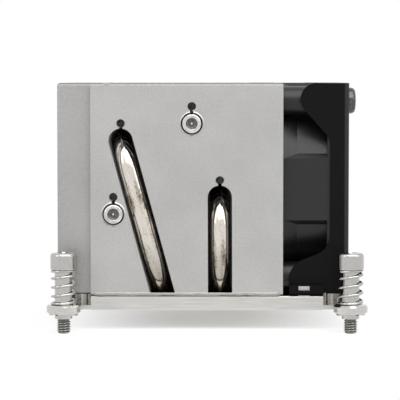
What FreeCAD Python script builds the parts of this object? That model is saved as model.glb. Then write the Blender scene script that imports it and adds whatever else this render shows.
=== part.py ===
import FreeCAD, Part
import math
import os

from FreeCAD import Placement, Rotation, Vector

# CPU cooler for a 2U server: a stack of thin fins on a base plate, four heat pipes, a 60 mm fan in a
# folded bracket, and four spring-loaded mounting screws.
# Millimetres. X runs from the fins to the fan, Y along the heat pipes, Z up. The origin is in the middle
# of the square of mounting screws, at the level of the screws' tips.

# ---- Driving dimensions ----

SCREW_SPACING = 80.0        # square hole pattern of the CPU socket
SCREW_PROJECTION = 5.6      # screw tips below the underside of the base plate

BASE_THICKNESS = 4.0
BAR_END_GAP = 7.2           # from the screw's axis back to the end of the front or back bar
BAR_MARGIN = 0.2            # bar's outer face beyond the outer fin
WING_MARGIN = 1.8           # middle of the plate beyond the screws' axes, along X
EDGE_CHAMFER = 0.3
EAR_RADIUS = 4.75
EAR_THICKNESS = 2.4
EAR_ARM_WIDTH = 3.6
EAR_CHAMFER = 0.4
EAR_TOP_CHAMFER = 0.5
POCKET_DEPTH = 9.4          # from the bar's outer face back into the plate
WEB_THICKNESS = 1.2         # thin floor of the corner pocket
WEB_SETBACK = 1.9           # of the web's edge behind the bar's outer face

CONTACT_LENGTH = 50.0
CONTACT_WIDTH = 40.0
CONTACT_THICKNESS = 1.0
CONTACT_CORNER = 2.0

FIN_COUNT = 31
NARROW_FINS = 2             # at each end of the stack, beside the fan
FIN_THICKNESS = 0.4
FOLD_RADIUS = 0.8           # outside of the folded top and bottom edges
STACK_OVERHANG = 3.0        # outer fins beyond the sides of the fan
WIDE_FIN_OVERHANG = 0.6     # beyond the plate, on the side away from the fan
WIDE_FIN_RIGHT = 13.5
NARROW_FIN_OVERLAP = 7.4    # along the side of the fan
WIDE_FIN_CORNER = 0.85
NARROW_FIN_CORNER = 0.55
TOP_LOCK_X = -28.2          # small notches where the folds hook together
TOP_LOCK_WIDTH = 2.0
BOTTOM_LOCK_X = 10.2
BOTTOM_LOCK_WIDTH = 1.0
LOCK_DEPTH = 0.7
LOCK_TAPER = 0.4            # each side of a notch leans in by this

PIPE_RADIUS = 3.0
PIPE_BEND = 12.0            # centre line
PIPE_FLAT_HEIGHT = 3.5      # where it is pressed flat inside the base
PIPE_TRANSITION = 5.0
PIPE_PROUD = 0.7            # closed end beyond the outer fin
PIPE_BULGE = 0.6            # outermost reach of the bend inside the outer fin
PIPE_END_TAPER = 0.9        # closed end narrows to a flat face
PIPE_END_FACE = 2.3
PIPE_DIMPLE_RADIUS = 1.7    # sealed end is dished around its filling tip
PIPE_DIMPLE_FLOOR = 1.4
PIPE_DIMPLE_DEPTH = 0.4
PIPE_TIP_BASE = 0.6
PIPE_TIP_RADIUS = 0.35
PIPE_TIP_PROUD = 0.15
PIPE_SEAT_END = 22.0        # flat closed end, along Y
PIPE_FIT = 0.05
HOLE_FIT = 0.1
SLOT_FIT = 0.43
COLLAR_WIDTH = 0.4          # raised lip around a pipe's hole in an outer fin
COLLAR_RIM = 0.1
COLLAR_PROUD = 0.2
RELIEF_RADIUS = 1.2         # small solder hole above each pipe
RELIEF_OFFSET = 4.85        # above the pipe's axis
RELIEF_NECK = 1.0

FAN_SIZE = 60.0             # also the height of the fins
FAN_DEPTH = 25.0
FAN_GAP = 0.5               # between the fins and the fan
FAN_CORNER = 3.5
FAN_EDGE = 0.4
FAN_FLANGE = 5.0
FAN_HOLE_INSET = 5.0
FAN_HOLE_RADIUS = 2.15
FAN_POST_RADIUS = 4.1
DUCT_MARGIN = 1.25          # from the duct's bore to the side of the fan
DUCT_WALL = 1.7
DUCT_FLARE = 1.4            # outside of the duct widens by this to the back flange
DUCT_FLARE_START = 11.6     # from the fan's back
PAD_HALF_WIDTH = 8.8        # flat pad in the middle of each side of the duct
PAD_BEVEL = 3.0
STRUT_WIDTH = 3.0
STRUT_DEPTH = 4.0
STRUT_COUNT = 4
MOTOR_BASE_THICKNESS = 2.2
MOTOR_BASE_RADIUS = 14.6
CABLE_NOTCH = 4.0
CABLE_NOTCH_Y = 18.0

HUB_RADIUS = 14.0
HUB_WALL = 1.2
HUB_SETBACK = 2.0           # hub's face behind the fan's face
HUB_ROUND = 1.5
BLADE_COUNT = 7
BLADE_GAP = 0.65
BLADE_THICKNESS = 1.1
BLADE_SPAN_X = 14.0
BLADE_ROOT_PITCH = 50.0     # from the plane of rotation
BLADE_TIP_PITCH = 34.0
BLADE_SWEEP = 12.0
YOKE_WALL = 0.8
MAGNET_WALL = 1.7
MAGNET_LENGTH = 12.0
AIR_GAP = 0.5
ROTOR_GAP = 3.0             # between the hub's skirt and the motor base
SHAFT_RADIUS = 1.5
BEARING_RADIUS = 4.0
BEARING_WIDTH = 3.0
BEARING_CLEARANCE = 0.05
BEARING_TUBE_WALL = 1.0
STATOR_POLES = 4
STATOR_FIT = 0.05           # of the core and the board on the bearing tube
STATOR_LENGTH = 7.0
POLE_WIDTH = 3.0
POLE_SHOE = 1.2
COIL_THICKNESS = 1.2
BOARD_THICKNESS = 1.0
BOARD_GAP = 0.8

SHEET = 1.1                 # bracket
BRACKET_SIDE_GAP = 0.1
BRACKET_LIFT = 0.8          # bracket's lower edge above the base
BEND_OUTER = 1.6
OPENING_LIP = 0.35          # of the bracket inside the duct
LOBE_REACH = 12.6           # outline of the bracket's cheeks: reaches back from the fan's face
LOBE_DROP = 6.4             # and drops below the top edge, or rises above the base
LOBE_ROUND = 4.3
WAIST_REACH = 4.2
WAIST_DROP = 15.8
WAIST_TOP_ROUND = 4.0
WAIST_RISE = 13.1
WAIST_BOTTOM_ROUND = 6.0
FOOT_REACH = 15.8
FOOT_RISE = 8.5
FOOT_ROUND = 6.0
FOOT_LENGTH = 9.6
FOOT_HEIGHT = 3.1
FOOT_POCKET = 1.1
TONGUE_LENGTH = 3.2
TONGUE_FROM_FOOT = 2.6
TONGUE_HEIGHT = 2.8
TONGUE_FIT = 0.1
WINDOW_SILL = 1.5

FAN_SCREW_HEAD_RADIUS = 3.7
FAN_SCREW_HEAD_HEIGHT = 2.05
FAN_SCREW_SIDE = 0.85       # height of the head's straight side
FAN_SCREW_BREAK_RADIUS = 3.3
FAN_SCREW_BREAK = 1.55      # height of the break in the head's rounded edge
FAN_SCREW_CROWN_RADIUS = 2.5
FAN_SCREW_RADIUS = 2.1
FAN_SCREW_LENGTH = 9.0
DRIVE_LENGTH = 3.6          # cross recess, over its arms
DRIVE_WIDTH = 0.9
DRIVE_DEPTH = 1.3

SHANK_RADIUS = 2.45
SHANK_HOLE_FIT = 0.15
THREAD_RADIUS = 2.0
SHOULDER_DROP = 1.6         # shank's end below the ear
TIP_CHAMFER = 0.5
SCREW_HEAD_RADIUS = 3.65
SCREW_HEAD_HEIGHT = 4.8
HEAD_TOP_TAPER = 1.2
HEAD_TOP_RADIUS = 2.9
HEAD_BOTTOM_CHAMFER = 0.35
RING_RADIUS = 4.05
RING_THICKNESS = 0.5
RING_GAP_HALF_ANGLE = 26.0
GROOVE_RADIUS = 1.75
GROOVE_FIT = 0.05

SPRING_LENGTH = 9.7
SPRING_RADIUS = 3.22        # centre line
SPRING_WIRE = 0.375
SPRING_TURNS = 5.0
SPRING_END_TURNS = 0.8      # closed turn at each end
SPRING_START = 20.0         # where the wire's end points, in degrees
SPRING_STEPS = 18           # facets around one turn
SPRING_SIDES = 8            # facets around the wire

# Each pipe: its X in the base, its X and height above the base in the fins, the side where it bends.
# The two upper ones keep their distance from the fins' top.
PIPES = [
    (-12.2, -24.3, FAN_SIZE - 16.2, -1),
    (3.7, 3.6, 27.8, -1),
    (-4.25, -4.3, FAN_SIZE - 11.4, 1),
    (-20.15, -26.4, 23.1, 1),
]

# ---- Levels and places worked out from them ----

base_bottom = SCREW_PROJECTION
base_top = base_bottom + BASE_THICKNESS
fin_top = base_top + FAN_SIZE
ear_top = base_bottom + EAR_THICKNESS
screw_centre = SCREW_SPACING / 2
bar_half_length = screw_centre - BAR_END_GAP
wing_half_length = screw_centre + WING_MARGIN
fan_back = WIDE_FIN_RIGHT + FAN_GAP
fan_front = fan_back + FAN_DEPTH
fan_half = FAN_SIZE / 2
fan_axis_z = base_top + fan_half
fan_hole_spacing = FAN_SIZE - 2 * FAN_HOLE_INSET
duct_radius = fan_half - DUCT_MARGIN
duct_outer_radius = duct_radius + DUCT_WALL
fin_half = (FIN_COUNT - 1) / 2
fin_pitch = (fan_half + STACK_OVERHANG) / fin_half
outer_fin_face = fin_half * fin_pitch + FIN_THICKNESS / 2
fold_length = fin_pitch - FIN_THICKNESS
bar_half_depth = outer_fin_face + BAR_MARGIN
bend_centre_y = outer_fin_face - PIPE_BULGE - PIPE_RADIUS - PIPE_BEND
transition_y = bend_centre_y - PIPE_TRANSITION
pipe_seat_bottom = base_top - PIPE_FLAT_HEIGHT
pipe_seat_axis = pipe_seat_bottom + PIPE_RADIUS
flat_width = PIPE_FLAT_HEIGHT + math.pi * (PIPE_RADIUS - PIPE_FLAT_HEIGHT / 2)
groove_end_y = bend_centre_y + math.sqrt(
    (PIPE_BEND + PIPE_RADIUS) ** 2 - (PIPE_BEND + PIPE_RADIUS - PIPE_FLAT_HEIGHT) ** 2
)
cheek_outer = fan_half + BRACKET_SIDE_GAP + SHEET
foot_x = fan_front - FOOT_REACH
hub_face = fan_front - HUB_SETBACK
motor_base_top = fan_back + MOTOR_BASE_THICKNESS
hub_back = motor_base_top + ROTOR_GAP
yoke_radius = HUB_RADIUS - HUB_WALL
magnet_radius = yoke_radius - YOKE_WALL
stator_radius = magnet_radius - MAGNET_WALL - AIR_GAP
tube_radius = BEARING_RADIUS + BEARING_TUBE_WALL
yoke_top = hub_face - HUB_WALL
stator_start = motor_base_top + BOARD_GAP + BOARD_THICKNESS + BOARD_GAP + COIL_THICKNESS

PLAN = Rotation()                               # outline's x, y to X, Y, and its normal to +Z
FRONT = Rotation(Vector(1, 0, 0), 90)           # x, y to X, Z, and the normal to -Y
SIDE = Rotation(Vector(1, 1, 1), 120)           # x, y to Y, Z, and the normal to +X
FAN_AXIS = Placement(Vector(0, 0, fan_axis_z), Rotation(Vector(0, 0, 1), Vector(1, 0, 0)))


# ---- Helpers ----

def box(x0, x1, y0, y1, z0, z1):
    return Part.makeBox(x1 - x0, y1 - y0, z1 - z0, Vector(x0, y0, z0))


def outline(corners):
    """Closed wire through corners (x, y), each rounded where it has a third value, its radius."""
    points = [Vector(c[0], c[1], 0) for c in corners]
    edges = []
    last = None
    first = None
    for i, corner in enumerate(corners):
        here = points[i]
        if len(corner) > 2:
            back = (points[i - 1] - here).normalize()
            ahead = (points[(i + 1) % len(points)] - here).normalize()
            half = back.getAngle(ahead) / 2
            reach = corner[2] / math.tan(half)
            centre = here + (back + ahead).normalize() * (corner[2] / math.sin(half))
            middle = centre + (here - centre).normalize() * corner[2]
            start = here + back * reach
            end = here + ahead * reach
            arc = Part.Arc(start, middle, end).toShape()
        else:
            start = end = here
            arc = None
        if last is None:
            first = start
        elif last.distanceToPoint(start) > 1e-6:
            edges.append(Part.makeLine(last, start))
        if arc:
            edges.append(arc)
        last = end
    if last.distanceToPoint(first) > 1e-6:
        edges.append(Part.makeLine(last, first))
    return Part.Wire(edges)


def prism(wire, rotation, origin, thickness):
    """Solid drawn out from a flat closed wire along the rotated plane's normal."""
    solid = Part.Face(wire).extrude(Vector(0, 0, thickness))
    solid.Placement = Placement(origin, rotation)
    return solid


def rod(radius, start, direction, length):
    return Part.makeCylinder(radius, length, start, direction)


def turned(corners, placement):
    """Solid of revolution from corners (radius, height, rounding) about the placement's own Z."""
    wire = outline(corners)
    wire.rotate(Vector(), Vector(1, 0, 0), 90)
    solid = Part.Face(wire).revolve(Vector(), Vector(0, 0, 1), 360)
    solid.Placement = placement
    return solid


def tube(outer, inner, start, end):
    """Ring on the fan's axis between two X positions."""
    corners = [(inner, start), (outer, start), (outer, end), (inner, end)]
    return turned(corners, FAN_AXIS)


def at_corners(spacing_x, spacing_y):
    """Centres of a rectangular pattern of four."""
    return [(sx * spacing_x / 2, sy * spacing_y / 2) for sx in (-1, 1) for sy in (-1, 1)]


def rounded_rectangle(left, right, low, high, radius):
    return outline([(left, low, radius), (right, low, radius), (right, high, radius), (left, high, radius)])


def save(name, shape):
    shape.exportStep("parts/%s.step" % name)


# ---- Base ----

def stadium(width, height, centre):
    """Flattened pipe section in four edges, starting at its upper left, in the XZ plane."""
    radius = height / 2
    flat = (width - height) / 2
    upper = centre + Vector(0, 0, radius)
    lower = centre - Vector(0, 0, radius)
    side = Vector(flat, 0, 0)
    reach = Vector(flat + radius, 0, 0)
    return Part.Wire([
        Part.makeLine(upper - side, upper + side),
        Part.Arc(upper + side, centre + reach, lower + side).toShape(),
        Part.makeLine(lower + side, lower - side),
        Part.Arc(lower - side, centre - reach, upper - side).toShape(),
    ])


def pipe_groove(pipe):
    """Round-bottomed channel in the base, open at the top, for one pipe's flat part."""
    x, side = pipe[0], pipe[3]
    half = flat_width / 2 + PIPE_FIT
    bottom = pipe_seat_bottom
    corner = PIPE_FLAT_HEIGHT / 2
    height = 2 * PIPE_RADIUS
    profile = outline([(-half, 0, corner), (half, 0, corner), (half, height), (-half, height)])
    start = min(-side * PIPE_SEAT_END, side * groove_end_y) - PIPE_FIT
    end = max(-side * PIPE_SEAT_END, side * groove_end_y) + PIPE_FIT
    return prism(profile, FRONT, Vector(x, end, bottom), end - start)


def ear(x, y):
    """Lug for one mounting screw, with its arm to the middle of the plate."""
    toward_x = math.copysign(1, x)
    toward_y = math.copysign(1, y)
    lug = turned(
        [
            (0, base_bottom), (EAR_RADIUS - EAR_CHAMFER, base_bottom), (EAR_RADIUS, base_bottom + EAR_CHAMFER),
            (EAR_RADIUS, ear_top - EAR_TOP_CHAMFER), (EAR_RADIUS - EAR_TOP_CHAMFER, ear_top), (0, ear_top),
        ],
        Placement(Vector(x, y, 0), Rotation()),
    )
    outer = toward_x * wing_half_length
    inner = outer - toward_x * EAR_ARM_WIDTH
    arm = box(
        min(inner, outer), max(inner, outer),
        min(y, toward_y * (bar_half_depth - POCKET_DEPTH)), max(y, toward_y * (bar_half_depth - POCKET_DEPTH)),
        base_bottom, base_top,
    )
    around = rod(EAR_RADIUS, Vector(x, y, base_bottom), Vector(0, 0, 1), BASE_THICKNESS)
    return arm.cut(around).fuse(lug)


def tongue_box(side, margin, top):
    """Space of one tongue that holds a bracket foot, grown by a margin along X and Y."""
    start = foot_x + TONGUE_FROM_FOOT
    near = side * cheek_outer
    far = side * (cheek_outer + FOOT_POCKET)
    return box(
        start - margin, start + TONGUE_LENGTH + margin,
        min(near, far) + TONGUE_FIT - margin, max(near, far) - TONGUE_FIT + margin,
        base_top - margin, top,
    )


def base_plate():
    half_pocket = (wing_half_length - EAR_ARM_WIDTH - bar_half_length) / 2
    pocket_x = bar_half_length + half_pocket
    pocket_end = bar_half_depth - POCKET_DEPTH
    plate = box(-bar_half_length, bar_half_length, -bar_half_depth, bar_half_depth, base_bottom, base_top)
    plate = plate.makeChamfer(EDGE_CHAMFER, [e for e in plate.Edges if e.Length > 2 * BASE_THICKNESS])
    wing_y = pocket_end + half_pocket
    wings = box(-wing_half_length, wing_half_length, -wing_y, wing_y, base_bottom, base_top)
    plate = plate.fuse(wings)
    for x, y in at_corners(2 * pocket_x, 2 * wing_y):
        pocket = rod(half_pocket, Vector(x, y, base_bottom), Vector(0, 0, 1), BASE_THICKNESS)
        plate = plate.cut(pocket)
    web_y = bar_half_depth - WEB_SETBACK
    for side in (-1, 1):
        inner = side * (bar_half_length - 1)
        outer = side * (wing_half_length - 1)
        web = box(
            min(inner, outer), max(inner, outer), -web_y, web_y, base_bottom, base_bottom + WEB_THICKNESS
        )
        plate = plate.fuse(web)
    for x, y in at_corners(SCREW_SPACING, SCREW_SPACING):
        plate = plate.fuse(ear(x, y))
    for side in (-1, 1):
        plate = plate.fuse(tongue_box(side, 0, base_top + TONGUE_HEIGHT))
    for pipe in PIPES:
        plate = plate.cut(pipe_groove(pipe))
    for x, y in at_corners(SCREW_SPACING, SCREW_SPACING):
        hole = rod(SHANK_RADIUS + SHANK_HOLE_FIT, Vector(x, y, base_bottom), Vector(0, 0, 1), BASE_THICKNESS)
        plate = plate.cut(hole)
    return plate.removeSplitter()


def contact_plate():
    half_x = CONTACT_LENGTH / 2
    half_y = CONTACT_WIDTH / 2
    wire = rounded_rectangle(-half_x, half_x, -half_y, half_y, CONTACT_CORNER)
    return prism(wire, PLAN, Vector(0, 0, base_bottom - CONTACT_THICKNESS), CONTACT_THICKNESS)


# ---- Heat pipes ----

def bend_directions(pipe):
    """Start and end of a pipe's slanted leg, and its unit direction downwards."""
    seat_x, fin_x, height, _ = pipe
    top = Vector(fin_x, 0, base_top + height)
    low = Vector(seat_x, 0, pipe_seat_axis)
    return top, low, (low - top).normalize()


def pipe_bend(start, turn_about, axis, angle):
    section = Part.Face(Part.Wire(Part.makeCircle(PIPE_RADIUS, start, Vector(0, 1, 0))))
    return section.revolve(turn_about, axis, angle)


def heat_pipe(pipe):
    """Pipe that bends round through a half turn at one side of the fins, flattened in the base."""
    side = pipe[3]
    top, low, down = bend_directions(pipe)
    out = Vector(0, side, 0)
    bend_y = out * bend_centre_y
    axis = out.cross(down)
    closed_end = bend_centre_y + outer_fin_face + PIPE_PROUD
    run = turned(
        [
            (0, 0), (PIPE_RADIUS, 0), (PIPE_RADIUS, closed_end - PIPE_END_TAPER),
            (PIPE_END_FACE, closed_end), (PIPE_DIMPLE_RADIUS, closed_end),
            (PIPE_DIMPLE_FLOOR, closed_end - PIPE_DIMPLE_DEPTH),
            (PIPE_TIP_BASE, closed_end - PIPE_DIMPLE_DEPTH),
            (PIPE_TIP_RADIUS, closed_end + PIPE_TIP_PROUD), (0, closed_end + PIPE_TIP_PROUD),
        ],
        Placement(top + bend_y, Rotation(Vector(0, 0, 1), out * -1)),
    )
    upper = pipe_bend(top + bend_y, top + bend_y + down * PIPE_BEND, axis, 90)
    lower = pipe_bend(low + bend_y, low + bend_y - down * PIPE_BEND, axis, -90)
    leg_start = top + bend_y + down * PIPE_BEND + out * PIPE_BEND
    leg_end = low + bend_y - down * PIPE_BEND + out * PIPE_BEND
    leg = rod(PIPE_RADIUS, leg_start, down, leg_start.distanceToPoint(leg_end))
    shape = run.fuse([upper, leg, lower])

    quarter = PIPE_RADIUS / math.sqrt(2)
    centre = low + bend_y
    corners = [Vector(-quarter, 0, quarter), Vector(quarter, 0, quarter),
               Vector(quarter, 0, -quarter), Vector(-quarter, 0, -quarter)]
    crowns = [Vector(0, 0, PIPE_RADIUS), Vector(PIPE_RADIUS, 0, 0),
              Vector(0, 0, -PIPE_RADIUS), Vector(-PIPE_RADIUS, 0, 0)]
    round_end = Part.Wire([
        Part.Arc(centre + corners[i], centre + crowns[i], centre + corners[(i + 1) % 4]).toShape()
        for i in range(4)
    ])
    flat_centre = Vector(pipe[0], side * transition_y, pipe_seat_bottom + PIPE_FLAT_HEIGHT / 2)
    flat_start = stadium(flat_width, PIPE_FLAT_HEIGHT, flat_centre)
    transition = Part.makeLoft([round_end, flat_start], True, True)
    flat_length = transition_y + PIPE_SEAT_END
    flat = Part.Face(flat_start).extrude(out * -flat_length)
    return shape.fuse([transition, flat]).removeSplitter()


# ---- Fins ----

def pipe_opening(pipe, slotted):
    """Cutter along Y for one pipe: a round hole, or a slot down to the fin's lower edge."""
    top, low, down = bend_directions(pipe)
    reach = 2 * bar_half_depth
    radius = PIPE_RADIUS + (SLOT_FIT if slotted else HOLE_FIT)
    start = Vector(0, -reach / 2, 0)
    along = Vector(0, 1, 0)
    cutter = rod(radius, top + start, along, reach)
    neck_top = top + Vector(0, 0, RELIEF_OFFSET)
    relief = rod(RELIEF_RADIUS, neck_top + start, along, reach)
    neck = box(top.x - RELIEF_NECK / 2, top.x + RELIEF_NECK / 2, -reach / 2, reach / 2, top.z, neck_top.z)
    cutter = cutter.fuse([relief, neck])
    if slotted:
        across = down.cross(along)
        end = top + down * (top.distanceToPoint(low) + PIPE_RADIUS)
        corners = [top - across * radius, top + across * radius, end + across * radius, end - across * radius]
        face = Part.Face(Part.makePolygon(corners + corners[:1]))
        face.translate(start)
        cutter = cutter.fuse(face.extrude(along * reach))
    return cutter


def fin_openings():
    """Cutters for the three kinds of fin: bends of the front pipes, middle, bends of the back pipes."""
    kinds = {}
    for kind in (-1, 0, 1):
        cutters = [pipe_opening(pipe, pipe[3] == kind) for pipe in PIPES]
        kinds[kind] = cutters[0].fuse(cutters[1:])
    return kinds


def collars(outward, face_y):
    """Lips around the holes in an outer fin, where the closed ends of the other side's pipes come out."""
    radius = PIPE_RADIUS + HOLE_FIT
    lips = []
    for pipe in PIPES:
        if pipe[3] != outward:
            centre = bend_directions(pipe)[0] + Vector(0, face_y, 0)
            lips.append(turned(
                [
                    (radius, 0), (radius + COLLAR_WIDTH, 0),
                    (radius + COLLAR_RIM, COLLAR_PROUD), (radius, COLLAR_PROUD),
                ],
                Placement(centre, Rotation(Vector(0, 0, 1), Vector(0, outward, 0))),
            ))
    return lips


def lock_notch(x, z, width, into):
    """Cutter along Y for a notch in the top or bottom edge, narrower towards its end."""
    wide = width / 2
    slim = wide - LOCK_TAPER
    deep = z + into * LOCK_DEPTH
    beyond = z - into * LOCK_DEPTH
    wire = outline([
        (x - wide, z), (x - wide, beyond), (x + wide, beyond), (x + wide, z),
        (x + slim, deep), (x - slim, deep),
    ])
    return prism(wire, FRONT, Vector(0, bar_half_depth, 0), 2 * bar_half_depth)


def fin(index, openings):
    """One fin: a plate with its top and bottom edges folded over to the next fin."""
    place = index - fin_half
    front = place * fin_pitch - FIN_THICKNESS / 2
    back = front + FIN_THICKNESS
    fold_end = back + fold_length
    narrow = abs(place) > fin_half - NARROW_FINS
    left = -bar_half_length if narrow else -wing_half_length - WIDE_FIN_OVERHANG
    right = fan_back + NARROW_FIN_OVERLAP if narrow else WIDE_FIN_RIGHT
    corner = NARROW_FIN_CORNER if narrow else WIDE_FIN_CORNER
    if index < FIN_COUNT - 1:
        inside = FOLD_RADIUS - FIN_THICKNESS
        section = outline([
            (front, base_top, FOLD_RADIUS), (fold_end, base_top), (fold_end, base_top + FIN_THICKNESS),
            (back, base_top + FIN_THICKNESS, inside), (back, fin_top - FIN_THICKNESS, inside),
            (fold_end, fin_top - FIN_THICKNESS), (fold_end, fin_top), (front, fin_top, FOLD_RADIUS),
        ])
        sheet = prism(section, SIDE, Vector(left, 0, 0), right - left)
        if fold_end > -fan_half and front < fan_half:
            beside_fan = box(WIDE_FIN_RIGHT - corner, right, back, fold_end, base_top, fin_top)
            sheet = sheet.cut(beside_fan)
    else:
        sheet = box(left, right, front, back, base_top, fin_top)
    face = rounded_rectangle(left, right, base_top, fin_top, corner)
    plate = sheet.common(prism(face, FRONT, Vector(0, fold_end, 0), fin_pitch))
    plate = plate.cut(lock_notch(TOP_LOCK_X, fin_top, TOP_LOCK_WIDTH, -1))
    plate = plate.cut(lock_notch(BOTTOM_LOCK_X, base_top, BOTTOM_LOCK_WIDTH, 1))
    if index == 0:
        plate = plate.fuse(collars(-1, front))
    if index == FIN_COUNT - 1:
        plate = plate.fuse(collars(1, back))
    kind = 0
    if fold_end > transition_y:
        kind = 1
    if front < -transition_y:
        kind = -1
    return plate.cut(openings[kind]).removeSplitter()


# ---- Fan ----

def duct_waist():
    """Room around the duct between the two flanges, less the four flat pads."""
    back = fan_back + FAN_FLANGE
    front = fan_front - FAN_FLANGE
    waist = turned(
        [
            (duct_outer_radius + DUCT_FLARE, back), (2 * FAN_SIZE, back), (2 * FAN_SIZE, front),
            (duct_outer_radius, front), (duct_outer_radius, fan_back + DUCT_FLARE_START),
        ],
        FAN_AXIS,
    )
    inner = fan_half - PAD_BEVEL
    inner_half = PAD_HALF_WIDTH + PAD_BEVEL
    wire = outline([
        (fan_half, -PAD_HALF_WIDTH), (fan_half, PAD_HALF_WIDTH), (inner, inner_half), (inner, -inner_half),
    ])
    for i in range(4):
        pad = prism(wire, SIDE, Vector(fan_back, 0, fan_axis_z), FAN_DEPTH)
        pad.rotate(Vector(0, 0, fan_axis_z), Vector(1, 0, 0), i * 90)
        waist = waist.cut(pad)
    return waist


def fan_frame():
    """Housing: two square flanges, a duct with flat pads, corner posts, struts and the motor's base."""
    wire = rounded_rectangle(-fan_half, fan_half, -fan_half, fan_half, FAN_CORNER)
    square = prism(wire, SIDE, Vector(fan_back, 0, fan_axis_z), FAN_DEPTH)
    square = square.makeChamfer(FAN_EDGE, [e for e in square.Edges if e.BoundBox.XLength < FAN_EDGE])
    waist = duct_waist()
    for y, z in at_corners(fan_hole_spacing, fan_hole_spacing):
        start = Vector(fan_back, y, fan_axis_z + z)
        waist = waist.cut(rod(FAN_POST_RADIUS, start, Vector(1, 0, 0), FAN_DEPTH))
    frame = square.cut(waist)
    frame = frame.cut(rod(duct_radius, Vector(fan_back, 0, fan_axis_z), Vector(1, 0, 0), FAN_DEPTH))
    centre = Vector(fan_back, 0, fan_axis_z)
    for i in range(STRUT_COUNT):
        strut = box(
            fan_back, fan_back + STRUT_DEPTH, -STRUT_WIDTH / 2, STRUT_WIDTH / 2,
            fan_axis_z + tube_radius, fan_axis_z + (duct_radius + duct_outer_radius) / 2,
        )
        strut.rotate(centre, Vector(1, 0, 0), 45 + i * 360 / STRUT_COUNT)
        frame = frame.fuse(strut)
    base = turned(
        [
            (0, fan_back), (MOTOR_BASE_RADIUS, fan_back), (MOTOR_BASE_RADIUS, motor_base_top),
            (tube_radius, motor_base_top), (tube_radius, stator_start + STATOR_LENGTH),
            (BEARING_RADIUS, stator_start + STATOR_LENGTH), (BEARING_RADIUS, motor_base_top),
            (0, motor_base_top),
        ],
        FAN_AXIS,
    )
    keep_clear = tube(MOTOR_BASE_RADIUS, tube_radius, motor_base_top, fan_back + 2 * STRUT_DEPTH)
    frame = frame.cut(keep_clear).fuse(base)
    for y, z in at_corners(fan_hole_spacing, fan_hole_spacing):
        start = Vector(fan_back, y, fan_axis_z + z)
        frame = frame.cut(rod(FAN_HOLE_RADIUS, start, Vector(1, 0, 0), FAN_DEPTH))
    notch = box(
        fan_back, fan_back + STRUT_DEPTH, CABLE_NOTCH_Y - CABLE_NOTCH / 2, CABLE_NOTCH_Y + CABLE_NOTCH / 2,
        fan_axis_z + fan_half - CABLE_NOTCH / 2, fan_axis_z + fan_half,
    )
    return frame.cut(notch).removeSplitter()


def blade_section(radius, pitch_angle, lean):
    """Cambered blade section, flat at the given radius from the X axis, as a closed wire."""
    chord = BLADE_SPAN_X / math.sin(math.radians(pitch_angle))
    camber = 0.1 * chord
    half = BLADE_THICKNESS / 2
    nose = Vector(-chord / 2, 0, 0)
    tail = Vector(chord / 2, 0, 0)
    blunt = Vector(0, half, 0)
    fine = Vector(0, half / 2, 0)
    wire = Part.Wire([
        Part.Arc(nose + blunt, Vector(0, camber + half, 0), tail + fine).toShape(),
        Part.makeLine(tail + fine, tail - fine),
        Part.Arc(tail - fine, Vector(0, camber - half, 0), nose - blunt).toShape(),
        Part.makeLine(nose - blunt, nose + blunt),
    ])
    wire.rotate(Vector(), Vector(0, 0, 1), 90 - pitch_angle)
    wire.translate(Vector(0, 0, radius))
    wire.rotate(Vector(), Vector(1, 0, 0), lean)
    return wire


def impeller():
    skirt = turned(
        [
            (0, hub_face), (HUB_RADIUS, hub_face, HUB_ROUND), (HUB_RADIUS, hub_back),
            (yoke_radius, hub_back), (yoke_radius, yoke_top), (0, yoke_top),
        ],
        FAN_AXIS,
    )
    tip = duct_radius - BLADE_GAP
    middle = (HUB_RADIUS + tip) / 2
    mid_pitch = (BLADE_ROOT_PITCH + BLADE_TIP_PITCH) / 2
    sections = [
        blade_section(HUB_RADIUS - 2 * HUB_WALL, BLADE_ROOT_PITCH, 0),
        blade_section(middle, mid_pitch, BLADE_SWEEP / 2),
        blade_section(tip + HUB_WALL, BLADE_TIP_PITCH, BLADE_SWEEP),
    ]
    blade = Part.makeLoft(sections, True, False)
    blade_centre = Vector((hub_face + hub_back) / 2, 0, fan_axis_z)
    swept_ring = tube(tip, HUB_RADIUS - HUB_WALL / 2, hub_back, hub_face)
    blades = []
    for i in range(BLADE_COUNT):
        copy = blade.copy()
        copy.rotate(Vector(), Vector(1, 0, 0), i * 360 / BLADE_COUNT)
        copy.translate(blade_centre)
        blades.append(copy.common(swept_ring))
    return skirt.fuse(blades).removeSplitter()


def rotor_yoke():
    floor = yoke_top - YOKE_WALL
    return turned(
        [
            (SHAFT_RADIUS, yoke_top), (yoke_radius, yoke_top), (yoke_radius, hub_back),
            (magnet_radius, hub_back), (magnet_radius, floor), (SHAFT_RADIUS, floor),
        ],
        FAN_AXIS,
    )


def magnet_ring():
    return tube(magnet_radius, magnet_radius - MAGNET_WALL, hub_back, hub_back + MAGNET_LENGTH)


def rotor_shaft():
    start = motor_base_top + BEARING_CLEARANCE
    return rod(SHAFT_RADIUS, Vector(start, 0, fan_axis_z), Vector(1, 0, 0), yoke_top - start)


def motor_bearings():
    tube_end = stator_start + STATOR_LENGTH
    rings = []
    for start in (motor_base_top + BEARING_WIDTH / 2, tube_end - BEARING_WIDTH):
        rings.append(tube(BEARING_RADIUS, SHAFT_RADIUS + BEARING_CLEARANCE, start, start + BEARING_WIDTH))
    return Part.makeCompound(rings)


def pole_box(width, inner, outer, start, end, turn):
    shape = box(start, end, -width / 2, width / 2, fan_axis_z + inner, fan_axis_z + outer)
    shape.rotate(Vector(0, 0, fan_axis_z), Vector(1, 0, 0), turn)
    return shape


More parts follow.
